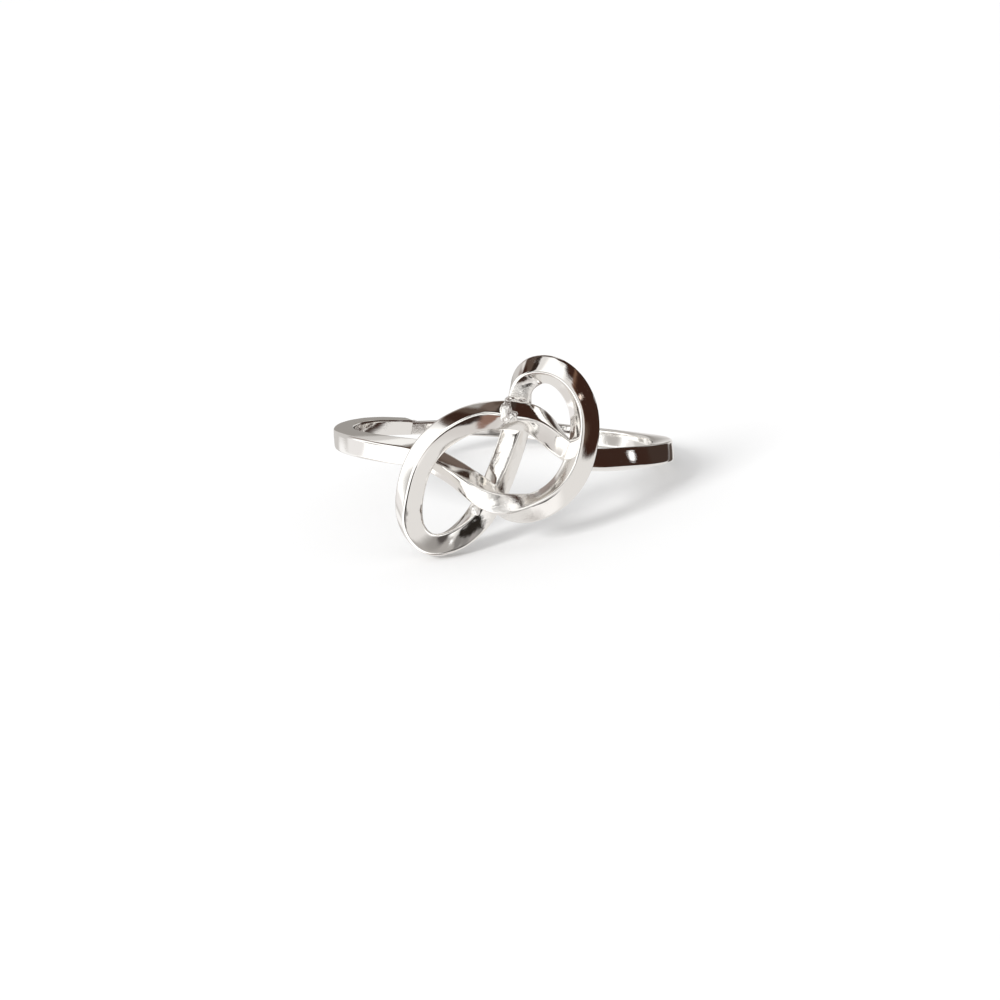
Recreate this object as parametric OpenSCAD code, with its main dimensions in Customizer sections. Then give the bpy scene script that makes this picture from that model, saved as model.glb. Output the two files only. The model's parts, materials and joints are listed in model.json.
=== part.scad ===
// Finger ring bent from one length of square silver wire with rounded edges.
// The wire closes round the finger as a plain band and, at the front, crosses
// itself four times in a flat knot of two loops. It is soldered at the crossings.
// Millimetres. Knot towards -Y, right of the ring +X, floor at Z = 0.

/* [Ring] */
// Diameter of the finger hole
inner_diameter = 17.3; // [17:0.1:17.7]
// Side of the square wire
wire_side = 1.2; // [1.15:0.05:1.3]
// Radius of the wire's rounded edges
wire_edge = 0.24; // [0.18:0.02:0.3]

/* [Knot] */
// Height of the knot, as a share of the one in the rows below
knot_tallness = 1; // [0.95:0.05:1.05]

/* [Rest] */
// Point of the band that touches the floor, in degrees round from +X
rest_side = 47; // [45:0.5:49]

/* [Smoothness] */
// Sections between two rows of the knot
row_steps = 5; // [4:1:6]

/* [Hidden] */

silver = [0.86, 0.86, 0.84];
inner_radius = inner_diameter / 2;
wire_radius = inner_radius + wire_side / 2;
// Where the plain band ends, in degrees round from the front
band_end = asin(0.6);

// The knot's wire from the left end of the band to the right end, a row for
// every two millimetres or so. The wire runs smoothly past the rows.
// around: degrees round the finger from the front, right of the ring positive
// height: up the finger from the middle of the band
// lift: outwards from the band's own middle line
// turn: of the square section about the wire
AROUND = 0;
HEIGHT = 1;
LIFT = 2;
TURN = 3;
knot_rows = [
    // around, height, lift, turn
    // the band's left end and the strand down to the right
    [-band_end - 8, 0, 0, 0],
    [-band_end, 0, 0, 0],
    [-band_end + 8, 0, 0, 0],
    [-22, -0.3, 0.2, -38],
    [-15, -0.7, 0.6, -42],
    [-8, -1.4, 1.3, -38],
    [-1, -2.3, 1.5, -30],
    // the right loop, from its bottom up and over
    [8, -2.6, 1.4, -20],
    [16, -1.8, 1.4, -10],
    [21.5, -0.5, 1.4, -5],
    [24, 1.4, 1.4, 0],
    [23.5, 3.1, 1.2, -5],
    [18, 4.6, 1, -15],
    [10.5, 5.1, 0.6, -38],
    [4, 4.2, 0.2, -80],
    // the strand across the middle, against the finger
    [5, 2.4, 0.1, -105],
    [2, 0.5, 0.2, -130],
    [-2, -1.6, 0.1, -135],
    // the left loop, from its bottom up and over
    [-7, -3.3, 0.2, -150],
    [-14, -4.5, 0.5, -170],
    [-21.5, -5, 0.9, -195],
    [-27.5, -3.9, 1.3, -230],
    [-27.5, -2.2, 1.5, -250],
    [-25, -0.3, 1.5, -240],
    [-19, 1.2, 1.4, -228],
    [-10, 2.2, 1.4, -212],
    [0, 2.6, 1.4, -190],
    // the strand down to the right and the band's right end
    [9, 2.1, 1.2, -212],
    [16, 1.1, 0.5, -215],
    [22, 0.4, 0.2, -212],
    [band_end - 8, 0, 0, -180],
    [band_end, 0, 0, -180],
    [band_end + 8, 0, 0, -180]
];
spans = len(knot_rows) - 3;

// The knot's wire is built in three lengths, none of which crosses itself.
first_cut = 11 * row_steps;
second_cut = 20 * row_steps;
last_cut = spans * row_steps;

// Weights of four neighbouring rows at the share t of the way between two.
function row_weights(t) = [
    pow(1 - t, 3),
    3 * pow(t, 3) - 6 * pow(t, 2) + 4,
    -3 * pow(t, 3) + 3 * pow(t, 2) + 3 * t + 1,
    pow(t, 3)
] / 6;

// How fast those weights change.
function row_slopes(t) = [
    -pow(1 - t, 2),
    3 * pow(t, 2) - 4 * t,
    -3 * pow(t, 2) + 2 * t + 1,
    pow(t, 2)
] / 2;

function row_group(i) = [for (k = [0:3]) knot_rows[i + k]];

// Row values and their change at one section of the knot.
function section_span(s) = min(floor(s / row_steps), spans - 1);
function section_share(s) = s / row_steps - section_span(s);
function row_at(s) = row_weights(section_share(s)) * row_group(section_span(s));
function change_at(s) = row_slopes(section_share(s)) * row_group(section_span(s));

function unit(v) = v / norm(v);
function outwards(around) = [sin(around), -cos(around), 0];
function sideways(around) = [cos(around), sin(around), 0];

// Square with rounded edges, as points across and up the wire. Each edge has
// three flats between points that lie at 3, 4 and 5 sided triangles' angles.
edge_points = [[1, 0], [0.8, 0.6], [0.6, 0.8], [0, 1]];
quarter_turns = [[1, 0], [0, 1], [-1, 0], [0, -1]];
function quarter_turned(p, c) = [p[0] * c[0] - p[1] * c[1], p[0] * c[1] + p[1] * c[0]];
wire_section = [
    for (c = quarter_turns) for (p = edge_points)
        quarter_turned((wire_side / 2 - wire_edge) * [1, 1] + wire_edge * p, c)
];
sides = len(wire_section);

// Middle of the wire at one section of the knot.
function middle_at(s) =
    let (row = row_at(s))
    (wire_radius + row[LIFT]) * outwards(row[AROUND]) + [0, 0, knot_tallness * row[HEIGHT]];

// Points round the wire at one section of the knot.
function section_points(s) =
    let (row = row_at(s))
    let (change = change_at(s))
    let (out = outwards(row[AROUND]))
    let (along = unit(
        (wire_radius + row[LIFT]) * change[AROUND] * PI / 180 * sideways(row[AROUND])
        + [0, 0, knot_tallness * change[HEIGHT]]
        + change[LIFT] * out
    ))
    let (face = unit(out - (out * along) * along))
    let (edge = cross(face, along))
    let (across = cos(row[TURN]) * face + sin(row[TURN]) * edge)
    let (up = cos(row[TURN]) * edge - sin(row[TURN]) * face)
    [for (p = wire_section) middle_at(s) + p[0] * across + p[1] * up];

// Triangles between two neighbouring sections, and those of a flat end, which
// meet at point m in the middle of the wire.
function skin(count) = [
    for (i = [0:count - 1]) for (j = [0:sides - 1])
        let (a = i * sides + j, b = i * sides + (j + 1) % sides)
        for (t = [[a, b, b + sides], [a, b + sides, a + sides]]) t
];
function near_end(m) = [for (j = [0:sides - 1]) [m, (j + 1) % sides, j]];
function far_end(m, first) = [for (j = [0:sides - 1]) [m, first + j, first + (j + 1) % sides]];

// One length of the knot's wire, from section a to section b.
module wire_length(a, b) {
    first_of_last = (b - a) * sides;
    middles = first_of_last + sides;
    polyhedron(
        points = concat([for (s = [a:b]) for (p = section_points(s)) p], [middle_at(a), middle_at(b)]),
        faces = concat(near_end(middles), skin(b - a), far_end(middles + 1, first_of_last)),
        convexity = 6
    );
}

// The plain part of the band, round the back of the finger. Both its ends are
// flat and lie where the knot's wire starts and stops.
module band() {
    difference() {
        rotate_extrude($fn = 180)
            translate([wire_radius, 0])
                polygon(wire_section);
        translate([0, 0, -wire_side])
            linear_extrude(2 * wire_side)
                polygon([[0, 0], [-30, -40], [0, -60], [30, -40]]);
    }
}

// Lying on its side the ring stands on the left loop's foot and on one point
// of the band. It leans so far that both of them meet the floor.
lean_axis = [-sin(rest_side), cos(rest_side), 0];
function leaned(p, lean) =
    p * cos(lean) + cross(lean_axis, p) * sin(lean) + lean_axis * (lean_axis * p) * (1 - cos(lean));

band_points = [
    for (a = [0:3:357]) for (p = wire_section)
        (wire_radius + p[0]) * outwards(a) + [0, 0, p[1]]
];
knot_points = [for (s = [0:last_cut]) for (p = section_points(s)) p];
function foot_of_knot(lean) = min([for (p = knot_points) leaned(p, lean)[2]]);
function foot_of_band(lean) =
    min([for (p = wire_section) p[1] * cos(lean) - (wire_radius + p[0]) * sin(lean)]);
function lean_between(low, high, tries) =
    let (middle = (low + high) / 2)
    tries == 0 ? middle
    : foot_of_knot(middle) > foot_of_band(middle) ? lean_between(low, middle, tries - 1)
    : lean_between(middle, high, tries - 1);
rest_lean = lean_between(10, 20, 16);

// How far the leaning ring reaches each way.
leaned_points = [for (p = concat(band_points, knot_points)) leaned(p, rest_lean)];
function reach(axis) = [for (p = leaned_points) p[axis]];
middle_x = (min(reach(0)) + max(reach(0))) / 2;
middle_y = (min(reach(1)) + max(reach(1))) / 2;
floor_z = foot_of_band(rest_lean);

// The whole ring, one solid of silver.
module knot_ring() {
    color(silver)
        translate([-middle_x, -middle_y, -floor_z])
            rotate(a = rest_lean, v = lean_axis)
                union() {
                    band();
                    wire_length(0, first_cut);
                    wire_length(first_cut, second_cut);
                    wire_length(second_cut, last_cut);
                }
}

knot_ring();
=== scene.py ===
import json
import math
from collections import namedtuple

import bmesh
import bpy
from mathutils import Matrix, Vector, noise


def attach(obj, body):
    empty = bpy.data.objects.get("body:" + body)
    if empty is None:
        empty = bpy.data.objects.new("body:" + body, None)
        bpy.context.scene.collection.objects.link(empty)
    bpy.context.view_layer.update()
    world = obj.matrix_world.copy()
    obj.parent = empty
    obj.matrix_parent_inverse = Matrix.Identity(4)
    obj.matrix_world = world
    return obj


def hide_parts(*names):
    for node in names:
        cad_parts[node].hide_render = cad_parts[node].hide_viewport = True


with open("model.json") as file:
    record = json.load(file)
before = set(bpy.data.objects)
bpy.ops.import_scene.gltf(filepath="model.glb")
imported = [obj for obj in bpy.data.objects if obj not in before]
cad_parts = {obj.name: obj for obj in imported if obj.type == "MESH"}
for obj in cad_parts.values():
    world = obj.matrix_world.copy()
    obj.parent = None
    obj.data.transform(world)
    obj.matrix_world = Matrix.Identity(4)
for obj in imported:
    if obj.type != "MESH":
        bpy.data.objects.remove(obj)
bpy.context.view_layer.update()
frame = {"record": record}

MM = 0.001
UP = Vector((0, 0, 1))

# The finger hole gives the ring's size and how it leans on the floor.
finger_hole = frame["record"]["mounts"][0]
INNER_RADIUS = finger_hole["dims"]["r_mm"]

# The square wire. The middle of each face stands above the face's edges by the crown.
WIRE_SIDE = 1.2
EDGE_RADIUS = 0.12
CROWN = 0.02
SECTION_POINTS = 64
WIRE_RADIUS = INNER_RADIUS + WIRE_SIDE / 2

# How far its faces stray from flat, how much of that is inwards, and the length of a wave.
UNEVENNESS = 0.03
INWARD_SHARE = 0.75
WAVE_LENGTH = 1.8
WAVE_SEED = 3

# The ring's own frame has the finger along +Z and the knot towards -Y.
lean = UP.rotation_difference(Vector(finger_hole["axis"]))
ring_place = Matrix.Translation(finger_hole["pos_m"])
ring_to_scene = ring_place @ lean.to_matrix().to_4x4() @ Matrix.Scale(MM, 4)

# The wire's way from the joint at the back, round the left side, through the knot and
# round the right side to the joint again.
# around: degrees round the finger from the front, right of the ring positive
# height: up the finger from the middle of the band
# lift: outwards from the band's own middle line
# turn: of the square section about the wire
# girth: thickness of the wire as a share of its nominal side
# rawness: how little the polishing wheel reached, from 0 to 1
Row = namedtuple("Row", "around height lift turn girth rawness")
WIRE_ROWS = [
    # the left side of the band, filed thinner at the back
    Row(-151, 0.05, -0.15, 0, 0.78, 0.5),
    Row(-139, 0.1, -0.15, 7, 0.8, 0.45),
    Row(-127, 0.18, -0.13, 9, 0.85, 0.4),
    Row(-115, 0.2, -0.1, 2, 0.88, 0.4),
    Row(-103, 0.15, -0.07, -3, 0.92, 0.4),
    Row(-91, 0.07, -0.03, -4, 0.96, 0.4),
    Row(-79, 0, 0, -6, 1, 0.3),
    Row(-68, 0, 0, -9, 1, 0.3),
    Row(-58, 0, 0, -13, 1, 0.3),
    Row(-50, 0, 0, -17, 1, 0.3),
    Row(-43, 0, 0, -20, 1, 0.3),
    Row(-36, 0, 0, -22, 1, 0.3),
    # the strand from there down to the right loop, with a quarter twist at its lower end
    Row(-29, 0, 0, -26, 1, 0.3),
    Row(-22, -0.36, 0.2, -31, 0.88, 0.4),
    Row(-15, -0.76, 0.6, -37, 0.88, 0.3),
    Row(-8, -1.4, 1.3, -46, 1, 0.3),
    Row(-1, -2.3, 1.41, 0, 1, 0.75),
    # the right loop, from its bottom up and over
    Row(8, -2.6, 1.31, 72, 1, 0.7),
    Row(16, -1.8, 1.38, 72, 1.02, 0.2),
    Row(21.5, -0.5, 1.38, 76, 1.04, 0),
    Row(24, 1.4, 1.38, 82, 1.03, 0),
    Row(23.5, 3.1, 1.2, 79, 1, 0),
    Row(18, 4.6, 1, 71, 1, 0.1),
    Row(10.5, 5.07, 0.6, 61, 1, 0.4),
    Row(4, 4.2, 0.2, -5, 1, 0.6),
    # the strand across the middle, against the finger
    Row(5, 2.4, 0.1, -20, 1, 0.5),
    Row(2, 0.5, 0.2, -40, 1, 0.45),
    Row(-2, -1.6, 0.1, -45, 1, 0.5),
    # the left loop, from its bottom up and over
    Row(-7, -3.3, 0.2, -60, 1, 0.3),
    Row(-14, -4.48, 0.5, -80, 1, 0.1),
    Row(-21.5, -4.98, 0.9, -105, 1, 0),
    Row(-27.5, -3.9, 1.3, -127, 1, 0),
    Row(-27.5, -2.2, 1.5, -157, 1, 0),
    Row(-25, -0.3, 1.5, -150, 1, 0),
    Row(-19, 1.2, 1.4, -141, 1, 0),
    Row(-10, 2.18, 1.4, -124, 1, 0.1),
    Row(-4, 2.42, 1.4, -112, 1, 0.2),
    Row(3, 2.45, 1.4, -150, 1, 0.2),
    # the strand from the left loop down to the right side of the band
    Row(9, 2.3, 1.2, -126, 1, 0.1),
    Row(16, 1.1, 0.5, -108, 1, 0.1),
    Row(22, 0.4, 0.2, -92, 1, 0.1),
    # the right side of the band, on round the back to the joint
    Row(29, 0, 0, -82, 1, 0.1),
    Row(36, 0, 0, -76, 1, 0),
    Row(44, 0, 0, -74, 1, 0),
    Row(54, 0, 0, -74, 1, 0),
    Row(65, 0, -0.02, -75, 1, 0),
    Row(77, 0, -0.05, -79, 1, 0),
    Row(89, 0, -0.06, -84, 1, 0.1),
    Row(101, 0, -0.05, -88, 1, 0.2),
    Row(113, -0.05, -0.06, -90, 0.95, 0.3),
    Row(125, -0.07, -0.08, -90, 0.9, 0.4),
    Row(137, -0.09, -0.08, -90, 0.88, 0.4),
    Row(149, -0.07, -0.07, -93, 0.9, 0.4),
    Row(161, -0.05, -0.06, -90, 0.92, 0.3),
    Row(173, 0, -0.06, -88, 0.92, 0.3),
    Row(185, 0, -0.08, -90, 0.88, 0.2),
    Row(197, 0, -0.14, -90, 0.78, 0.3),
    Row(209, 0, -0.18, -90, 0.7, 0.5),
    Row(221, 0, -0.2, -90, 0.66, 0.6),
    Row(233, 0, -0.2, -90, 0.66, 0.7),
]
# The wire's middle line is a smooth curve. Each span of it is shaped by so many neighbouring
# rows, and drawn in so many steps.
SPLINE_ROWS = 4
ROW_STEPS = 18

# How the photograph's camera stands to the ring, in the ring's own frame.
CAMERA_ELEVATION = 5.4
CAMERA_ROLL = 2.4
CAMERA_DISTANCE = 110
PIXELS_PER_MM = 17.25
PHOTO_SIDE = 1000
BAND_CENTRE_PIXEL = (503.9, 442.4)
CAMERA_CLIP_START = 5


def spline_weights(t):
    """Weights of four neighbouring rows at the share t of the way between the middle two."""
    return (
        (1 - t) ** 3 / 6,
        (3 * t ** 3 - 6 * t ** 2 + 4) / 6,
        (-3 * t ** 3 + 3 * t ** 2 + 3 * t + 1) / 6,
        t ** 3 / 6,
    )


def blend_rows(rows, t):
    """The row at the share t of the way between the middle two of four."""
    weights = spline_weights(t)
    return Row(*(sum(w * value for w, value in zip(weights, column)) for column in zip(*rows)))


def outwards(around):
    """Away from the finger's middle, at so many degrees round from the front."""
    angle = math.radians(around)
    return Vector((math.sin(angle), -math.cos(angle), 0))


def ring_point(place):
    """Where a row or a lump of solder has its middle, in the ring's own frame."""
    return (WIRE_RADIUS + place.lift) * outwards(place.around) + Vector((0, 0, place.height))


def placed(name, data):
    """A new object in the scene, at the origin."""
    item = bpy.data.objects.new(name, data)
    bpy.context.scene.collection.objects.link(item)
    return item


def wire_samples():
    """Rows sampled finely enough for the finished wire."""
    samples = []
    for first in range(len(WIRE_ROWS) - SPLINE_ROWS + 1):
        group = WIRE_ROWS[first:first + SPLINE_ROWS]
        samples += [blend_rows(group, step / ROW_STEPS) for step in range(ROW_STEPS)]
    samples.append(blend_rows(WIRE_ROWS[-SPLINE_ROWS:], 1))
    return samples


def wire_path():
    """The wire's middle line as a chain of edges, with how its section lies there."""
    samples = wire_samples()
    middles = [ring_point(sample) for sample in samples]
    last = len(samples) - 1
    facings = []
    for i, sample in enumerate(samples):
        along = (middles[min(i + 1, last)] - middles[max(i - 1, 0)]).normalized()
        out = outwards(sample.around)
        face = (out - out.dot(along) * along).normalized()
        edge = face.cross(along)
        turn = math.radians(sample.turn)
        facings.append(lean @ (math.cos(turn) * face + math.sin(turn) * edge))
    mesh = bpy.data.meshes.new("wire_path")
    edges = [(i, i + 1) for i in range(last)]
    mesh.from_pydata([ring_to_scene @ middle for middle in middles], edges, [])
    facing = mesh.attributes.new("facing", "FLOAT_VECTOR", "POINT")
    facing.data.foreach_set("vector", [c for f in facings for c in f])
    for name in ("girth", "rawness"):
        column = mesh.attributes.new(name, "FLOAT", "POINT")
        column.data.foreach_set("value", [getattr(s, name) for s in samples])
    return mesh


class Tree:
    """A node tree that is written one node a line."""

    def __init__(self, nodes, links):
        self.nodes = nodes
        self.links = links

    def add(self, kind, settings=None, **inputs):
        """Adds a node. Inputs are named by their socket, with spaces as underscores, or by
        in_ and their number, and take a value or the output socket of another node."""
        node = self.nodes.new(kind)
        for name, value in (settings or {}).items():
            setattr(node, name, value)
        for name, value in inputs.items():
            numbered = name.startswith("in_")
            socket = node.inputs[int(name[3:]) if numbered else name.replace("_", " ")]
            if isinstance(value, bpy.types.NodeSocket):
                self.links.new(value, socket)
            else:
                socket.default_value = value
        return node.outputs

    def number(self, operation, first, second):
        return self.add("ShaderNodeMath", {"operation": operation}, in_0=first, in_1=second)[0]

    def one_over(self, value):
        return self.number("DIVIDE", 1.0, value)

    def vector(self, operation, first, second):
        return self.add("ShaderNodeVectorMath", {"operation": operation}, in_0=first, in_1=second)[0]

    def scaled(self, vector, factor):
        return self.add("ShaderNodeVectorMath", {"operation": "SCALE"}, in_0=vector, Scale=factor)[0]

    def store(self, geometry, kind, name, value):
        """The geometry with a value kept at each of its points."""
        return self.add(
            "GeometryNodeStoreNamedAttribute", {"data_type": kind, "domain": "POINT"},
            Geometry=geometry, Name=name, Value=value,
        )[0]

    def kept(self, kind, name):
        """A value that was kept at each point."""
        return self.add("GeometryNodeInputNamedAttribute", {"data_type": kind}, Name=name)[0]

    def mixed(self, share, first, second):
        """A colour on its way from the first to the second. A Mix node has its colours in
        sockets 6 and 7 and their mixture in output 2."""
        return self.add("ShaderNodeMix", {"data_type": "RGBA"}, in_0=share, in_6=first, in_7=second)[2]


def rounded_square(tree, given, half):
    """The wire's section: a square whose points near a corner move onto its rounding."""
    side = given["Side"]
    square = tree.add("GeometryNodeCurvePrimitiveQuadrilateral", Width=side, Height=side)[0]
    square = tree.add("GeometryNodeResampleCurve", Curve=square, Count=given["Section Points"])[0]
    place = tree.add("GeometryNodeInputPosition")[0]
    core = tree.number("SUBTRACT", half, given["Edge Radius"])
    core_corner = tree.add("ShaderNodeCombineXYZ", X=core, Y=core, Z=0.0)[0]
    inside = tree.vector("MINIMUM", place, core_corner)
    inside = tree.vector("MAXIMUM", inside, tree.scaled(core_corner, -1.0))
    away = tree.vector("SUBTRACT", place, inside)
    away = tree.add("ShaderNodeVectorMath", {"operation": "NORMALIZE"}, in_0=away)[0]
    rounded = tree.vector("ADD", inside, tree.scaled(away, given["Edge Radius"]))
    return tree.add("GeometryNodeSetPosition", Geometry=square, Position=rounded)[0]


def crowned(tree, given, half, section):
    """The section with each face highest along its middle, because polishing wears its edges."""
    place = tree.add("GeometryNodeInputPosition")[0]
    shares = tree.scaled(place, tree.one_over(half))
    shares = tree.vector("MULTIPLY", shares, shares)
    shares = tree.add("ShaderNodeSeparateXYZ", Vector=shares)
    shares = tree.add("ShaderNodeCombineXYZ", X=shares["Y"], Y=shares["X"], Z=0.0)[0]
    drop = tree.scaled(shares, tree.number("DIVIDE", given["Crown"], half))
    drop = tree.vector("MULTIPLY", place, drop)
    lowered = tree.vector("SUBTRACT", place, drop)
    return tree.add("GeometryNodeSetPosition", Geometry=section, Position=lowered)[0]


def carried_along(tree, path, section):
    """The wire: the section carried along the path. Each point keeps its grain, which is its
    place on the wire in millimetres, across the section and along the wire."""
    place = tree.add("GeometryNodeInputPosition")[0]
    section = tree.store(section, "FLOAT_VECTOR", "section_place", place)
    path = tree.add("GeometryNodeMeshToCurve", Mesh=path)[0]
    facing = tree.kept("FLOAT_VECTOR", "facing")
    path = tree.add("GeometryNodeSetCurveNormal", {"mode": "FREE"}, Curve=path, Normal=facing)[0]
    length = tree.add("GeometryNodeSplineParameter")["Length"]
    path = tree.store(path, "FLOAT", "wire_length", length)
    wire = tree.add(
        "GeometryNodeCurveToMesh",
        Curve=path, Profile_Curve=section, Scale=tree.kept("FLOAT", "girth"), Fill_Caps=True,
    )[0]
    across = tree.add("ShaderNodeSeparateXYZ", Vector=tree.kept("FLOAT_VECTOR", "section_place"))
    length = tree.kept("FLOAT", "wire_length")
    grain = tree.add("ShaderNodeCombineXYZ", X=across["X"], Y=across["Y"], Z=length)[0]
    return tree.store(wire, "FLOAT_VECTOR", "grain", tree.scaled(grain, 1 / MM))


def uneven_faces(tree, given, wire):
    """The wire with faces that aren't quite flat and dip in places, as on hand-drawn wire."""
    wave = tree.add(
        "ShaderNodeTexNoise", {"noise_dimensions": "4D"},
        Vector=tree.add("GeometryNodeInputPosition")[0], W=given["Seed"],
        Scale=tree.one_over(given["Wave Length"]), Detail=1.0,
    )[0]
    wave = tree.number("SUBTRACT", wave, given["Inward Share"])
    wave = tree.number("MULTIPLY", wave, given["Unevenness"])
    normal = tree.add("GeometryNodeInputNormal")[0]
    return tree.add("GeometryNodeSetPosition", Geometry=wire, Offset=tree.scaled(normal, wave))[0]


def wire_tree():
    """Geometry Nodes that draw the square wire along its path."""
    group = bpy.data.node_groups.new("square_wire", "GeometryNodeTree")
    group.interface.new_socket("Geometry", in_out="INPUT", socket_type="NodeSocketGeometry")
    sizes = {
        "Side": ("NodeSocketFloat", WIRE_SIDE * MM),
        "Edge Radius": ("NodeSocketFloat", EDGE_RADIUS * MM),
        "Crown": ("NodeSocketFloat", CROWN * MM),
        "Section Points": ("NodeSocketInt", SECTION_POINTS),
        "Unevenness": ("NodeSocketFloat", UNEVENNESS * MM),
        "Inward Share": ("NodeSocketFloat", INWARD_SHARE),
        "Wave Length": ("NodeSocketFloat", WAVE_LENGTH * MM),
        "Seed": ("NodeSocketFloat", WAVE_SEED),
        "Finish": ("NodeSocketMaterial", None),
    }
    for name, (kind, value) in sizes.items():
        socket = group.interface.new_socket(name, in_out="INPUT", socket_type=kind)
        if value is not None:
            socket.default_value = value
    group.interface.new_socket("Geometry", in_out="OUTPUT", socket_type="NodeSocketGeometry")
    tree = Tree(group.nodes, group.links)
    given = tree.add("NodeGroupInput")
    half = tree.number("MULTIPLY", given["Side"], 0.5)
    section = crowned(tree, given, half, rounded_square(tree, given, half))
    wire = uneven_faces(tree, given, carried_along(tree, given["Geometry"], section))
    wire = tree.add("GeometryNodeSetShadeSmooth", Geometry=wire)[0]
    wire = tree.add("GeometryNodeSetMaterial", Geometry=wire, Material=given["Finish"])[0]
    wire = tree.add("GeometryNodeRealizeInstances", Geometry=wire)[0]
    tree.add("NodeGroupOutput", in_0=wire)
    return group


def knot_wire(finish):
    """The ring's wire as one plain mesh."""
    path = placed("wire_path", wire_path())
    modifier = path.modifiers.new("square_wire", "NODES")
    group = wire_tree()
    modifier.node_group = group
    inputs = [item for item in group.interface.items_tree if item.in_out == "INPUT"]
    sockets = {item.name: item.identifier for item in inputs}
    modifier[sockets["Finish"]] = finish
    drawn = path.evaluated_get(bpy.context.evaluated_depsgraph_get())
    mesh = bpy.data.meshes.new_from_object(drawn)
    mesh.name = "knot_wire"
    bpy.data.objects.remove(path)
    face_outwards(mesh)
    return placed("knot_wire", mesh)


def face_outwards(mesh):
    """Turns the faces of a closed mesh outwards."""
    shell = bmesh.new()
    shell.from_mesh(mesh)
    bmesh.ops.recalc_face_normals(shell, faces=shell.faces)
    shell.to_mesh(mesh)
    shell.free()


# The silver's finish. A scale says how often its pattern comes back in a millimetre, a depth
# is in millimetres, and roughness runs from 0, a mirror, to 1.
SILVER_COLOUR = (0.94, 0.925, 0.905, 1)
# The raw skin begins, and is full, where its patches and the wire's rawness add up to these.
RAW_BEGINS = 0.95
RAW_IS_FULL = 1.35
RAW_PATCH_SCALE = 0.9
RAW_ROUGHNESS = 0.26
PIT_SCALE = 5.0
PIT_DEPTH = 0.035
# The scratches' pattern is drawn out along the wire, the last of the three.
SCRATCH_STRETCH = (1, 1, 0.06)
SCRATCH_SCALE = 12.0
SCRATCH_DEPTH = 0.0016
# Where the smears' pattern runs between these two, polished silver's roughness does so too.
SMEAR_SCALE = 1.6
SMEAR_RANGE = (0.35, 0.7)
POLISHED_ROUGHNESS = (0.02, 0.08)


def silver_finish():
    """Bright silver with fine scratches along the wire, and a grainy skin where it is raw."""
    material = bpy.data.materials.new("silver")
    material.use_nodes = True
    tree = Tree(material.node_tree.nodes, material.node_tree.links)
    shader = material.node_tree.nodes["Principled BSDF"]
    shader.inputs["Base Color"].default_value = SILVER_COLOUR
    shader.inputs["Metallic"].default_value = 1.0
    grain = tree.add("ShaderNodeAttribute", {"attribute_name": "grain"})["Vector"]
    rawness = tree.add("ShaderNodeAttribute", {"attribute_name": "rawness"})["Fac"]

    # where the raw skin shows, in patches that grow with the rawness
    patches = tree.add("ShaderNodeTexNoise", Vector=grain, Scale=RAW_PATCH_SCALE, Detail=3.0)[0]
    skin = tree.number("ADD", patches, rawness)
    skin = tree.add("ShaderNodeMapRange", Value=skin, From_Min=RAW_BEGINS, From_Max=RAW_IS_FULL)[0]

    # scratches run along the wire, so their pattern is drawn out that way
    streaks = tree.vector("MULTIPLY", grain, SCRATCH_STRETCH)
    scratches = tree.add(
        "ShaderNodeTexNoise", Vector=streaks, Scale=SCRATCH_SCALE, Detail=5.0, Roughness=0.75,
    )[0]
    pits = tree.add("ShaderNodeTexNoise", Vector=grain, Scale=PIT_SCALE, Detail=5.0, Roughness=0.65)[0]
    pits = tree.number("MULTIPLY", pits, skin)
    worn = tree.add("ShaderNodeBump", Strength=1.0, Distance=SCRATCH_DEPTH * MM, Height=scratches)[0]
    worn = tree.add("ShaderNodeBump", Strength=1.0, Distance=PIT_DEPTH * MM, Height=pits, Normal=worn)[0]
    tree.links.new(worn, shader.inputs["Normal"])

    # smears of polish on the bright faces, and a duller raw skin
    smears = tree.add("ShaderNodeTexNoise", Vector=grain, Scale=SMEAR_SCALE, Detail=4.0)[0]
    polish = tree.add(
        "ShaderNodeMapRange", Value=smears, From_Min=SMEAR_RANGE[0], From_Max=SMEAR_RANGE[1],
        To_Min=POLISHED_ROUGHNESS[0], To_Max=POLISHED_ROUGHNESS[1],
    )[0]
    dull = tree.number("MULTIPLY", skin, RAW_ROUGHNESS)
    tree.links.new(tree.number("ADD", polish, dull), shader.inputs["Roughness"])
    return material


# Solder that stands proud where strands cross and where the ends meet.
# around, height, lift: the lump's middle, as in the wire's rows
# width, tall, deep: its size sideways, up the finger and outwards
Lump = namedtuple("Lump", "around height lift width tall deep")
SOLDER = [
    # the short end of the right loop on the left loop's top strand
    Lump(0.3, 2.65, 1.95, 0.65, 1.15, 0.75),
    Lump(1.6, 2.45, 1.95, 0.75, 0.65, 0.65),
    Lump(3, 3.2, 0.9, 1.15, 0.5, 1.1),
    # the middle strand on the strand from the left
    Lump(-3, -1.6, 0.9, 0.8, 0.7, 0.7),
    # the right loop over the strand to the band's right side
    Lump(21.5, 0.35, 0.8, 0.5, 0.7, 0.6),
    # the left loop over the strand from the band's left side
    Lump(-22.5, 0, 0.9, 0.5, 0.6, 0.6),
    # the left loop's end under the right loop
    Lump(-7.5, -2.7, 0.8, 0.6, 0.6, 0.6),
    # the joint at the back
    Lump(-142, 0.3, -0.1, 0.5, 0.35, 0.7),
]
SOLDER_RAWNESS = 0.8
# How far a lump strays from round, as a share of its size, and how many bumps it has across.
LUMP_UNEVENNESS = 0.2
LUMP_BUMPS = 3.5
LUMP_SUBDIVISIONS = 5
# How far apart the lumps lie in the pattern of the bumps, so that no two are alike.
LUMP_SPACING = 10


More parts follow.
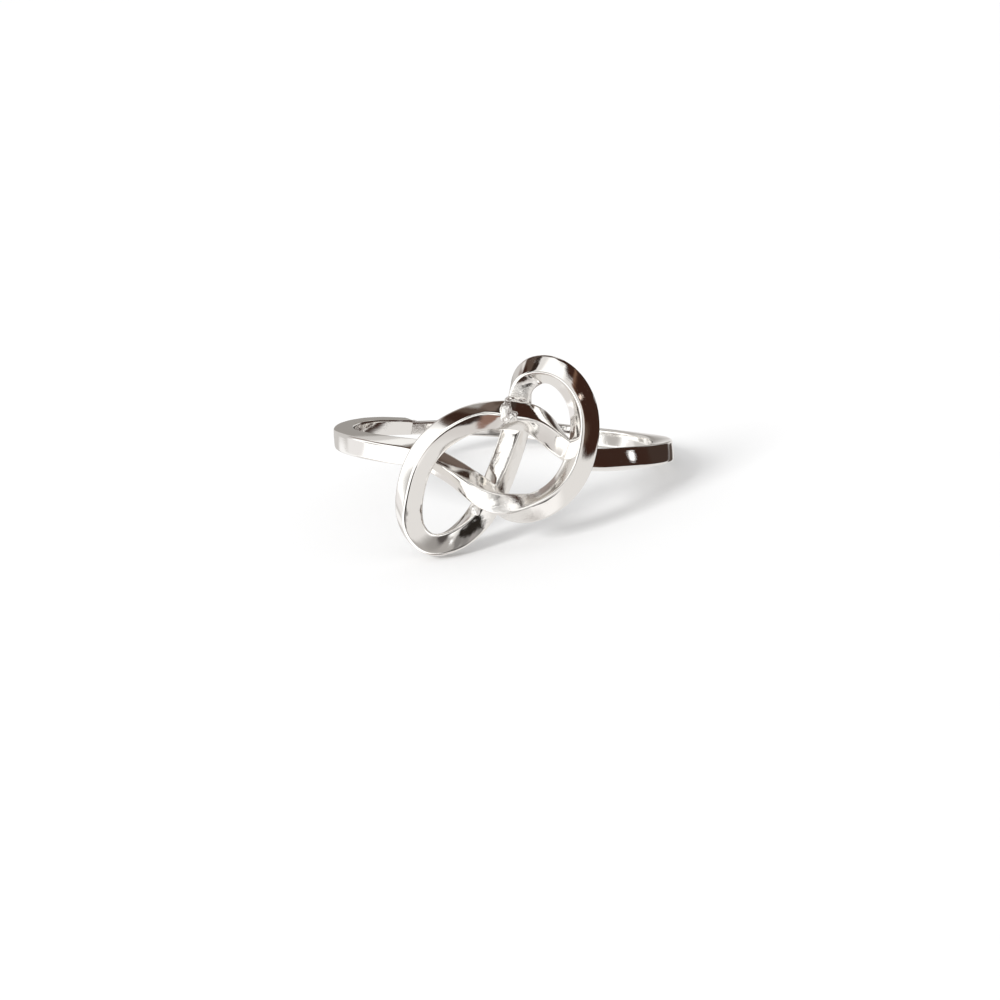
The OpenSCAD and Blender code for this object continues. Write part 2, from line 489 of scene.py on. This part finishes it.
def solder(finish):
    """All the solder as one mesh of uneven lumps."""
    shell = bmesh.new()
    for number, lump in enumerate(SOLDER):
        out = outwards(lump.around)
        sideways = Vector((-out.y, out.x, 0))
        middle = ring_point(lump)
        apart = LUMP_SPACING * number * UP
        ball = bmesh.ops.create_icosphere(shell, subdivisions=LUMP_SUBDIVISIONS, radius=0.5)
        for vertex in ball["verts"]:
            uneven = 1 + LUMP_UNEVENNESS * noise.noise(LUMP_BUMPS * vertex.co + apart)
            x, y, z = uneven * vertex.co
            point = x * lump.width * sideways + y * lump.deep * out + z * lump.tall * UP
            vertex.co = ring_to_scene @ (middle + point)
    for face in shell.faces:
        face.smooth = True
    mesh = bpy.data.meshes.new("solder")
    shell.to_mesh(mesh)
    shell.free()
    grain = mesh.attributes.new("grain", "FLOAT_VECTOR", "POINT")
    grain.data.foreach_set("vector", [c / MM for vertex in mesh.vertices for c in vertex.co])
    rawness = mesh.attributes.new("rawness", "FLOAT", "POINT")
    rawness.data.foreach_set("value", [SOLDER_RAWNESS] * len(mesh.vertices))
    mesh.materials.append(finish)
    face_outwards(mesh)
    return placed("solder", mesh)


def camera_frame():
    """The camera's place and its right, up and back directions, in the ring's own frame."""
    elevation = math.radians(CAMERA_ELEVATION)
    roll = math.radians(CAMERA_ROLL)
    back = Vector((0, -math.cos(elevation), math.sin(elevation)))
    right = Vector((1, 0, 0))
    up = back.cross(right)
    right, up = (
        math.cos(roll) * right + math.sin(roll) * up,
        math.cos(roll) * up - math.sin(roll) * right,
    )
    place = CAMERA_DISTANCE * back
    # the lens points at the middle of the picture, and the band's middle is a little off it
    pixel_length = PIXELS_PER_MM * CAMERA_DISTANCE
    aside = (PHOTO_SIDE / 2 - BAND_CENTRE_PIXEL[0]) / pixel_length
    below = (PHOTO_SIDE / 2 - BAND_CENTRE_PIXEL[1]) / pixel_length
    back = (back - aside * right + below * up).normalized()
    right = (right - right.dot(back) * back).normalized()
    return place, right, back.cross(right), back


def photo_camera():
    """The camera that took the photograph, as far as the ring shows where it stood."""
    place, right, up, back = camera_frame()
    data = bpy.data.cameras.new("photo_camera")
    data.lens = data.sensor_width * PIXELS_PER_MM * CAMERA_DISTANCE / PHOTO_SIDE
    data.clip_start = CAMERA_CLIP_START * MM
    camera = placed("photo_camera", data)
    turn = lean.to_matrix() @ Matrix((right, up, back)).transposed()
    camera.matrix_world = Matrix.Translation(ring_to_scene @ place) @ turn.to_4x4()
    bpy.context.scene.camera = camera
    return camera


# What the metal mirrors, as round patches of the room around the ring, each laid over the
# ones before it. Angles are as the camera sees them: around from towards the camera, right
# positive, and height above the camera's own level. A patch is full within its first radius
# and gone past its second.
Patch = namedtuple("Patch", "around height full gone colour")
ROOM_COLOUR = (0.8, 0.78, 0.76)
DARKEST_CEILING = (0.05, 0.035, 0.028)
WOOD = (0.042, 0.018, 0.012)
FAR_WOOD = (0.042, 0.02, 0.014)
WORN_WOOD = (0.05, 0.032, 0.025)
CAMERA_BODY = (0.03, 0.02, 0.015)
CLOTH_FOLD = (0.022, 0.018, 0.015)
TABLE_EDGE = (0.04, 0.025, 0.02)
ROOM = [
    # white paper and the window's light
    Patch(-70, -12, 54, 66, (1.35, 1.35, 1.33)),
    Patch(38, -47, 14, 24, (1, 0.98, 0.96)),
    Patch(14, 38, 18, 28, (1.2, 1.19, 1.17)),
    # grey walls behind
    Patch(-148, 16, 24, 34, (0.62, 0.6, 0.58)),
    Patch(-122, -9, 8, 13, (0.88, 0.86, 0.85)),
    Patch(-145, -13, 8, 13, (1, 0.99, 0.98)),
    Patch(-173, 17, 9, 15, (0.34, 0.32, 0.3)),
    Patch(-140, 46, 12, 17, (0.33, 0.28, 0.26)),
    Patch(165, 26, 8, 16, (0.3, 0.28, 0.25)),
    Patch(-164, 49, 7, 10, (0.95, 0.94, 0.92)),
    Patch(-152, 58, 4, 7, (0.36, 0.34, 0.32)),
    Patch(-97, 0, 3, 15, (0.5, 0.48, 0.46)),
    Patch(-130, -30, 6, 12, (0.75, 0.72, 0.7)),
    # the dark ceiling
    Patch(180, 74, 14, 18, (0.16, 0.12, 0.1)),
    Patch(-100, 64, 20, 23, (0.1, 0.07, 0.055)),
    Patch(-15, 76, 6, 9, (0.12, 0.09, 0.075)),
    Patch(10, 83, 11, 14, DARKEST_CEILING),
    Patch(20, 80, 11, 14, DARKEST_CEILING),
    Patch(-112, 55, 7, 10, FAR_WOOD),
    # dark wood to the right
    Patch(62, 56, 17, 21, WOOD),
    Patch(103, 44, 16, 19, FAR_WOOD),
    Patch(138, 44, 9, 14, WORN_WOOD),
    Patch(64, 36, 15, 18, WOOD),
    Patch(77, 14, 24, 27, (0.18, 0.1, 0.065)),
    Patch(79, 14, 22, 25, WOOD),
    Patch(72, -4.5, 8.5, 10.5, WOOD),
    Patch(61, -5, 4, 7, (0.12, 0.08, 0.06)),
    Patch(155, -1, 6, 10, (0.08, 0.06, 0.05)),
    Patch(92, 14, 20, 24, FAR_WOOD),
    Patch(115, 13, 20, 25, FAR_WOOD),
    Patch(132, 12, 14, 22, WORN_WOOD),
    # the camera's dark body
    Patch(-41, 8, 6, 10, CAMERA_BODY),
    Patch(-39, 26, 6, 9, CAMERA_BODY),
    Patch(-42, 44, 8, 12, CAMERA_BODY),
    Patch(-50, 61, 6, 9, CAMERA_BODY),
    # dark cloth below the camera
    Patch(-12, 3, 8, 20, (0.33, 0.315, 0.3)),
    Patch(-17, -2, 6, 12, (0.09, 0.08, 0.075)),
    Patch(-2, -8, 6, 10, (0.42, 0.4, 0.38)),
    Patch(7, -19, 5, 8, (0.22, 0.21, 0.2)),
    Patch(18, -24, 5, 8, (0.25, 0.24, 0.23)),
    Patch(30, -29, 5, 8, (0.36, 0.34, 0.33)),
    Patch(43, -32, 4, 8, (0.28, 0.27, 0.26)),
    Patch(7, -27, 4, 6, CLOTH_FOLD),
    Patch(14, -29, 4, 6, CLOTH_FOLD),
    Patch(22, -33, 5, 7, CLOTH_FOLD),
    Patch(30, -36, 5, 7, CLOTH_FOLD),
    Patch(39, -38, 5, 7, CLOTH_FOLD),
    # the brown table beyond the paper
    Patch(5, -66, 14, 30, (0.68, 0.65, 0.63)),
    Patch(-28, -66, 9, 11, (0.27, 0.16, 0.125)),
    Patch(-5, -49, 7, 11, (0.08, 0.055, 0.04)),
    Patch(6, -60, 6, 9, TABLE_EDGE),
    Patch(18, -66, 5, 7, TABLE_EDGE),
    Patch(22, -69, 3, 4.5, TABLE_EDGE),
    # lamps
    Patch(95, 14, 1.5, 3.5, (1.6, 1.6, 1.6)),
    Patch(59, 10, 0.8, 1.6, (2, 1.7, 1.5)),
    Patch(-3, -12, 1.5, 3, (1.2, 1.2, 1.2)),
]
# How bright the room is to the paper, and what the camera itself sees beyond the paper.
PAPER_LIGHT = 0.82
WHITE = (1, 1, 1, 1)


def seen_by_camera(camera, around, height):
    """A direction in the scene from angles as the camera sees them."""
    around = math.radians(around)
    height = math.radians(height)
    right = math.cos(height) * math.sin(around)
    back = math.cos(height) * math.cos(around)
    return camera.matrix_world.to_3x3() @ Vector((right, math.sin(height), back))


def room(camera):
    """The room that the metal mirrors. All else sees plain white light."""
    world = bpy.data.worlds.new("room")
    world.use_nodes = True
    bpy.context.scene.world = world
    tree = Tree(world.node_tree.nodes, world.node_tree.links)
    direction = tree.add("ShaderNodeTexCoord")["Generated"]
    colour = (*ROOM_COLOUR, 1)
    for patch in ROOM:
        towards = seen_by_camera(camera, patch.around, patch.height)
        nearness = tree.add(
            "ShaderNodeVectorMath", {"operation": "DOT_PRODUCT"}, in_0=direction, in_1=towards,
        )["Value"]
        share = tree.add(
            "ShaderNodeMapRange", {"interpolation_type": "SMOOTHSTEP"}, Value=nearness,
            From_Min=math.cos(math.radians(patch.gone)), From_Max=math.cos(math.radians(patch.full)),
        )[0]
        colour = tree.mixed(share, colour, (*patch.colour, 1))
    rays = tree.add("ShaderNodeLightPath")
    paper = (PAPER_LIGHT, PAPER_LIGHT, PAPER_LIGHT, 1)
    colour = tree.mixed(rays["Is Glossy Ray"], paper, colour)
    colour = tree.mixed(rays["Is Camera Ray"], colour, WHITE)
    tree.links.new(colour, tree.nodes["Background"].inputs["Color"])


# The paper under the ring, and how far it reaches from the ring's place.
FLOOR_REACH = 2000
PAPER_COLOUR = (0.9, 0.9, 0.9, 1)
PAPER_ROUGHNESS = 0.9
PAPER_GLOSS = 0.1


def white_paper():
    material = bpy.data.materials.new("white_paper")
    material.use_nodes = True
    shader = material.node_tree.nodes["Principled BSDF"]
    shader.inputs["Base Color"].default_value = PAPER_COLOUR
    shader.inputs["Roughness"].default_value = PAPER_ROUGHNESS
    shader.inputs["Specular IOR Level"].default_value = PAPER_GLOSS
    return material


def pale_floor():
    """A wide sheet of paper under the ring, which the metal doesn't mirror."""
    reach = FLOOR_REACH * MM
    corners = [(-reach, -reach, 0), (reach, -reach, 0), (reach, reach, 0), (-reach, reach, 0)]
    mesh = bpy.data.meshes.new("floor")
    mesh.from_pydata(corners, [], [(0, 1, 2, 3)])
    mesh.materials.append(white_paper())
    floor = placed("floor", mesh)
    floor.visible_glossy = False


# The window's light comes from the front left, at these angles from the floor's own -Y.
WINDOW_AROUND = -38
WINDOW_HEIGHT = 30
WINDOW_WIDTH = 18
WINDOW_STRENGTH = 2.1


def window_light():
    """Soft daylight that throws the ring's shadow to the right."""
    data = bpy.data.lights.new("window", "SUN")
    data.angle = math.radians(WINDOW_WIDTH)
    data.energy = WINDOW_STRENGTH
    light = placed("window", data)
    height = math.radians(WINDOW_HEIGHT)
    towards = math.cos(height) * outwards(WINDOW_AROUND) + Vector((0, 0, math.sin(height)))
    light.matrix_world = towards.to_track_quat("Z", "Y").to_matrix().to_4x4()
    light.visible_glossy = False


bpy.context.scene.view_settings.view_transform = "Standard"
camera = photo_camera()
room(camera)
window_light()
pale_floor()

silver = silver_finish()
wire = knot_wire(silver)
lumps = solder(silver)
for piece in (wire, lumps):
    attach(piece, "root")
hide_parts("knot_ring")
